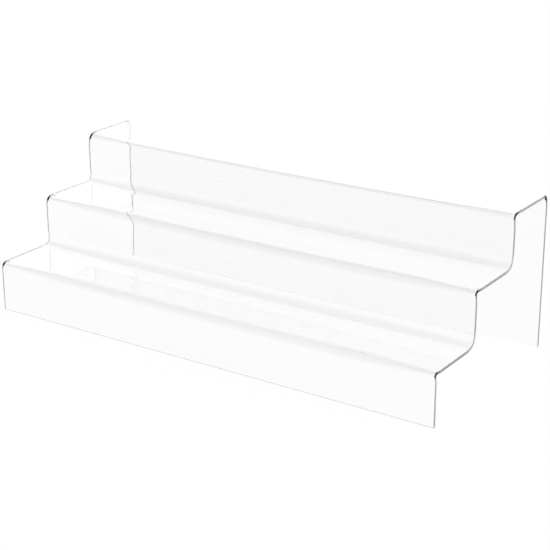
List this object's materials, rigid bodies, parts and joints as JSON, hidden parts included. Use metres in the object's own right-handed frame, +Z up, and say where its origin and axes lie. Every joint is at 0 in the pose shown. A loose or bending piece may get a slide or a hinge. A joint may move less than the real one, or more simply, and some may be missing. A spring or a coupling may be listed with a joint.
{
  "type": "tiered shelf riser",
  "caption": "Clear stepped shelf riser: one bent acrylic sheet whose stepped treads lift jars at the back of a shelf above those in front.",
  "frame": {"origin": "middle of the footprint, on the surface that the riser stands on", "axes": "+X along the steps, +Y from the low front step to the tall back leg, +Z up out of the top step"},
  "size_m": [0.533, 0.228, 0.165],
  "materials": {
    "clear_acrylic": "polished"
  },
  "bodies": {
    "root": {"riser_sheet": "clear_acrylic"}
  },
  "joints": []
}
